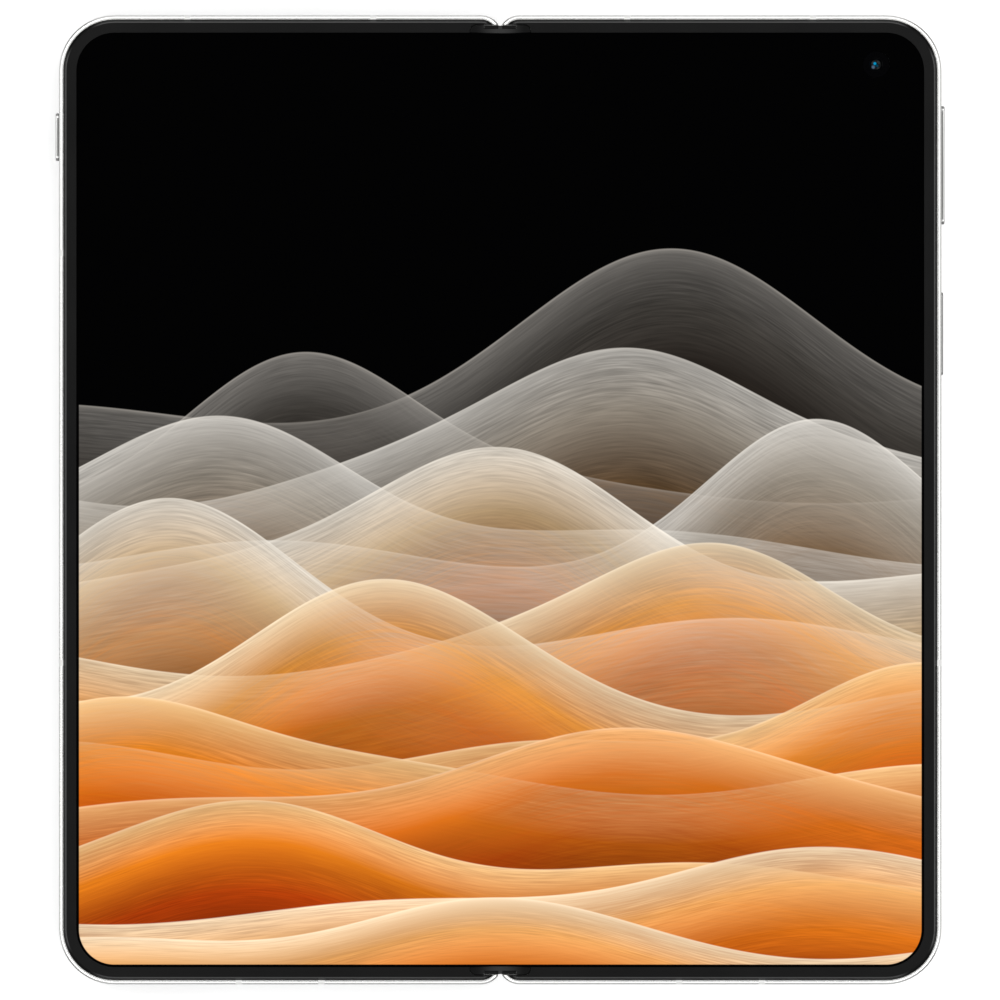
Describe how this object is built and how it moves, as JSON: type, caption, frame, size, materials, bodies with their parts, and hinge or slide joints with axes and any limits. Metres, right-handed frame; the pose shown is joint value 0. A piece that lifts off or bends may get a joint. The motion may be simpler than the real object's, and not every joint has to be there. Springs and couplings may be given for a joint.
{
  "type": "foldable phone",
  "caption": "Book-style foldable phone, unfolded, with a geared waterdrop hinge, a large flexible inner display, a cover display and a round camera island on the back.",
  "frame": {"origin": "middle of the footprint, on the plane of the camera island's glass, with the hinge line above it", "axes": "+X towards the half with the cameras, +Y along the hinge towards the top edge, +Z out of the inner display"},
  "size_m": [0.1469, 0.1598, 0.0074],
  "materials": {
    "frame_metal": "fine blasted, anodised silver",
    "band_plastic": "moulded, flush with the metal",
    "bezel_plastic": "fine satin black",
    "inner_display": "glossy folding display",
    "back_glass": "satin white glass",
    "cover_glass": "polished black glass",
    "camera_rim": "turned and polished",
    "lens_metal": "dark anodised",
    "lens_glass": "coated lens glass",
    "module_plastic": "moulded",
    "battery_foil": "pouch foil",
    "board": "solder mask with cans",
    "copper": "enamelled copper wire",
    "steel": "stamped sheet",
    "hinge_steel": "machined",
    "gear_brass": "fine cut",
    "key_metal": "fine blasted",
    "spine_metal": "polished and anodised",
    "soft_bridge": "satin soft moulding",
    "flex": "polyimide film"
  },
  "bodies": {
    "right_half": {"frame_right": "frame_metal", "bezel_right": "bezel_plastic", "display_right": "inner_display", "support_plate_right": "steel", "back_cover": "back_glass", "camera_ring": "camera_rim", "camera_glass": "cover_glass", "camera_lenses": "lens_glass", "lens_rings": "lens_metal", "camera_modules": "module_plastic", "inner_camera": "lens_glass", "battery_right": "battery_foil", "main_board": "board", "wireless_coil": "copper", "usb_port": "steel", "haptic_motor": "steel", "loudspeaker_right": "module_plastic", "key_switches_right": "gear_brass", "antenna_bands_right": "band_plastic", "hinge_brackets_right": "hinge_steel", "swing_arms_right": "hinge_steel", "hinge_screws_right": "steel"},
    "volume_key": {"volume_key": "key_metal"},
    "power_key": {"power_key": "key_metal"},
    "spine": {"spine_cover": "spine_metal", "spine_end_caps": "spine_metal", "hinge_bases": "hinge_steel", "gear_shafts": "steel", "friction_springs": "steel", "center_plate": "hinge_steel", "fold_strip": "inner_display", "fold_lattice": "steel", "bezel_bridge": "soft_bridge", "hinge_flex": "flex"},
    "sync_arm_right": {"sync_arm_right": "gear_brass"},
    "sync_arm_left": {"sync_arm_left": "gear_brass"},
    "idler_right": {"idler_gear_right": "gear_brass"},
    "idler_left": {"idler_gear_left": "gear_brass"},
    "left_half": {"frame_left": "frame_metal", "bezel_left": "bezel_plastic", "display_left": "inner_display", "support_plate_left": "steel", "cover_glass": "cover_glass", "cover_display": "module_plastic", "cover_camera": "lens_glass", "battery_left": "battery_foil", "sub_board": "board", "earpiece": "module_plastic", "sim_reader": "steel", "key_switch_left": "gear_brass", "antenna_bands_left": "band_plastic", "hinge_brackets_left": "hinge_steel", "swing_arms_left": "hinge_steel", "hinge_screws_left": "steel"},
    "side_key": {"side_key": "key_metal"},
    "sim_tray": {"sim_tray": "key_metal"}
  },
  "joints": [
    {"name": "fold_right", "type": "hinge", "parent": "spine", "child": "right_half", "pos_m": [0.00095, 0, 0.0067], "axis": [0, -1, 0], "range_deg": [0, 90], "deforming": ["fold_strip", "fold_lattice", "bezel_bridge", "hinge_flex"]},
    {"name": "fold_left", "type": "hinge", "parent": "spine", "child": "left_half", "pos_m": [-0.00095, 0, 0.0067], "axis": [0, 1, 0], "range_deg": [0, 90]},
    {"name": "sync_arm_right", "type": "hinge", "parent": "spine", "child": "sync_arm_right", "pos_m": [0.00195, 0, 0.0054], "axis": [0, 1, 0], "range_deg": [-90, 0]},
    {"name": "sync_arm_left", "type": "hinge", "parent": "spine", "child": "sync_arm_left", "pos_m": [-0.00195, 0, 0.0054], "axis": [0, 1, 0], "range_deg": [0, 90]},
    {"name": "idler_right", "type": "hinge", "parent": "spine", "child": "idler_right", "pos_m": [0.00065, 0, 0.0054], "axis": [0, 1, 0], "range_deg": [0, 90]},
    {"name": "idler_left", "type": "hinge", "parent": "spine", "child": "idler_left", "pos_m": [-0.00065, 0, 0.0054], "axis": [0, 1, 0], "range_deg": [-90, 0]},
    {"name": "volume_rocker", "type": "hinge", "parent": "right_half", "child": "volume_key", "pos_m": [0.07085, 0.0553, 0.00515], "axis": [0, 0, 1], "range_deg": [-1.5, 1.5], "stiffness_Nm_per_rad": 0.6},
    {"name": "power_press", "type": "slide", "parent": "right_half", "child": "power_key", "axis": [-1, 0, 0], "range_m": [0, 0.00025], "stiffness_N_per_m": 2000},
    {"name": "side_press", "type": "slide", "parent": "left_half", "child": "side_key", "axis": [1, 0, 0], "range_m": [0, 0.00025], "stiffness_N_per_m": 2000},
    {"name": "tray_pull", "type": "slide", "parent": "left_half", "child": "sim_tray", "axis": [0, -1, 0], "range_m": [0, 0.017]}
  ],
  "couplings": [
    {"joint": "fold_left", "follows": "fold_right", "ratio": 1},
    {"joint": "sync_arm_right", "follows": "fold_right", "ratio": -1},
    {"joint": "sync_arm_left", "follows": "fold_right", "ratio": 1},
    {"joint": "idler_right", "follows": "fold_right", "ratio": 1},
    {"joint": "idler_left", "follows": "fold_right", "ratio": -1}
  ]
}
